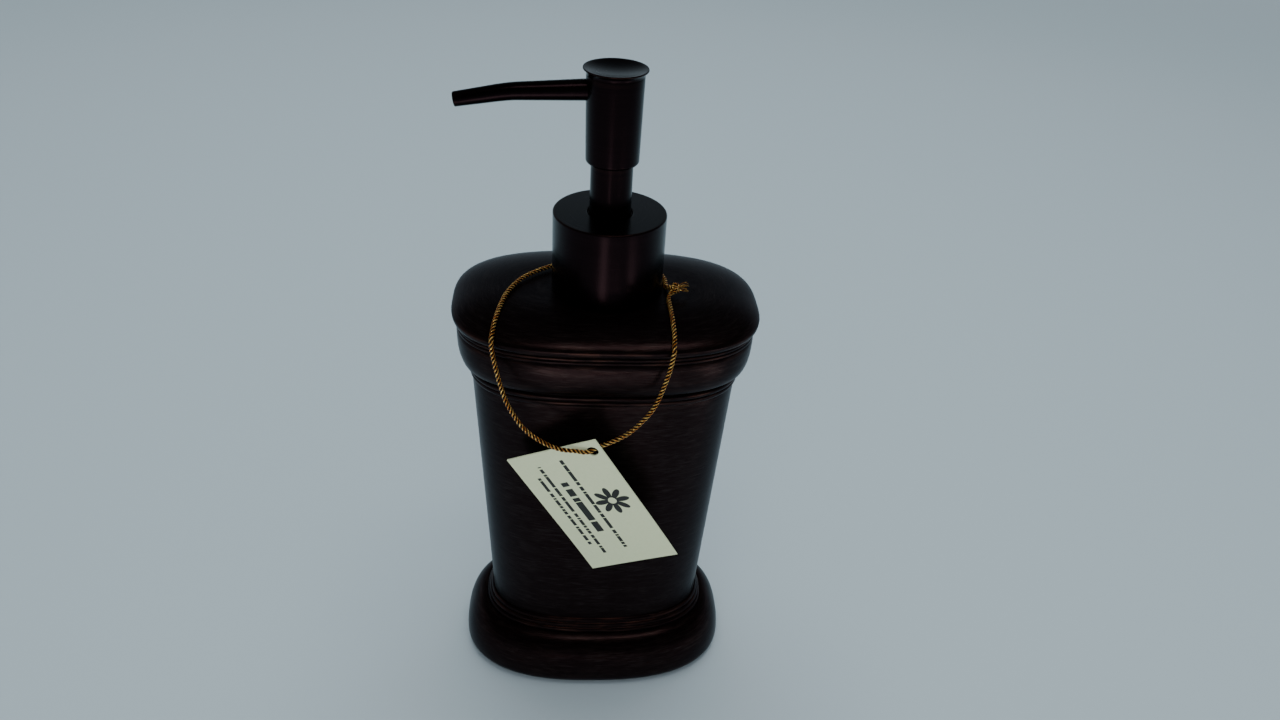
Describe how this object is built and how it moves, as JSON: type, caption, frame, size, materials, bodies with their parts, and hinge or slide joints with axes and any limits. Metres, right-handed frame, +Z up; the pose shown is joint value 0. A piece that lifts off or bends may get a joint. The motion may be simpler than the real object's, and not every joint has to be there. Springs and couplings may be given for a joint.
{
  "type": "soap pump dispenser",
  "caption": "Countertop liquid soap dispenser: a dark bronze cast reservoir with a cushion lid and a press-down pump with a swivel spout.",
  "frame": {"origin": "centre of the bottom rest face, on the pump's axis", "axes": "+Z up along the pump's axis, the wide front face looks along -Y, the spout points along -X at rest"},
  "size_m": [0.0948, 0.0702, 0.2122],
  "materials": {
    "bronze_resin": "cast resin, brushed dark oil-rubbed bronze finish, satin to semi-gloss",
    "bronze_metal": "thin metal, smooth satin dark bronze finish",
    "natural_plastic": "uncoloured moulded polypropylene",
    "black_plastic": "black moulded polypropylene",
    "steel": "plain stainless steel",
    "soft_rubber": "soft black rubber or foam",
    "gold_thread": "twisted metallic gold thread",
    "cream_card": null
  },
  "bodies": {
    "reservoir_body": {"reservoir": "bronze_resin", "base_pad": "soft_rubber", "neck_insert": "black_plastic", "tag_cord": "gold_thread", "cord_knot": "gold_thread"},
    "pump_body": {"neck_gasket": "soft_rubber", "pump_housing": "natural_plastic", "guide_bush": "black_plastic", "dip_tube": "natural_plastic", "valve_retainer": "natural_plastic", "return_spring": "steel"},
    "inlet_ball_body": {"inlet_ball": "steel"},
    "closure_body": {"screw_cap": "black_plastic", "collar": "bronze_metal"},
    "plunger_body": {"piston": "natural_plastic", "piston_seal": "soft_rubber", "stem": "natural_plastic", "stem_ferrule": "natural_plastic"},
    "outlet_ball_body": {"outlet_ball": "steel"},
    "head_body": {"stem_sleeve": "bronze_metal", "head_shell": "bronze_metal", "head_cap": "bronze_metal", "head_core": "black_plastic", "spout": "bronze_metal", "spout_liner": "natural_plastic"},
    "tag_body": {"hang_tag": "cream_card"}
  },
  "joints": [
    {"name": "pump_rise", "type": "slide", "parent": "reservoir_body", "child": "pump_body", "axis": [0, 0, 1], "range_m": [0, 0.00634]},
    {"name": "closure_turn", "type": "hinge", "parent": "pump_body", "child": "closure_body", "pos_m": [0, 0, 0.145], "axis": [0, 0, 1], "range_deg": [0, 540]},
    {"name": "head_press", "type": "slide", "parent": "pump_body", "child": "plunger_body", "axis": [0, 0, -1], "range_m": [0, 0.014], "stiffness_N_per_m": 450, "springref_m": -0.012, "deforming": ["return_spring"]},
    {"name": "head_swivel", "type": "hinge", "parent": "plunger_body", "child": "head_body", "pos_m": [0, 0, 0.19], "axis": [0, 0, 1], "continuous": true},
    {"name": "inlet_ball_lift", "type": "slide", "parent": "pump_body", "child": "inlet_ball_body", "axis": [0, 0, 1], "range_m": [0, 0.0012]},
    {"name": "outlet_ball_lift", "type": "slide", "parent": "plunger_body", "child": "outlet_ball_body", "axis": [0, 0, 1], "range_m": [0, 0.0012]},
    {"name": "tag_swing", "type": "hinge", "parent": "reservoir_body", "child": "tag_body", "pos_m": [-0.0039, -0.0367, 0.1084], "axis": [-0.2426, -0.9506, -0.1938], "range_deg": [-10, 30]}
  ],
  "couplings": [
    {"joint": "closure_turn", "follows": "pump_rise", "rad_per_m": 1485.4}
  ]
}
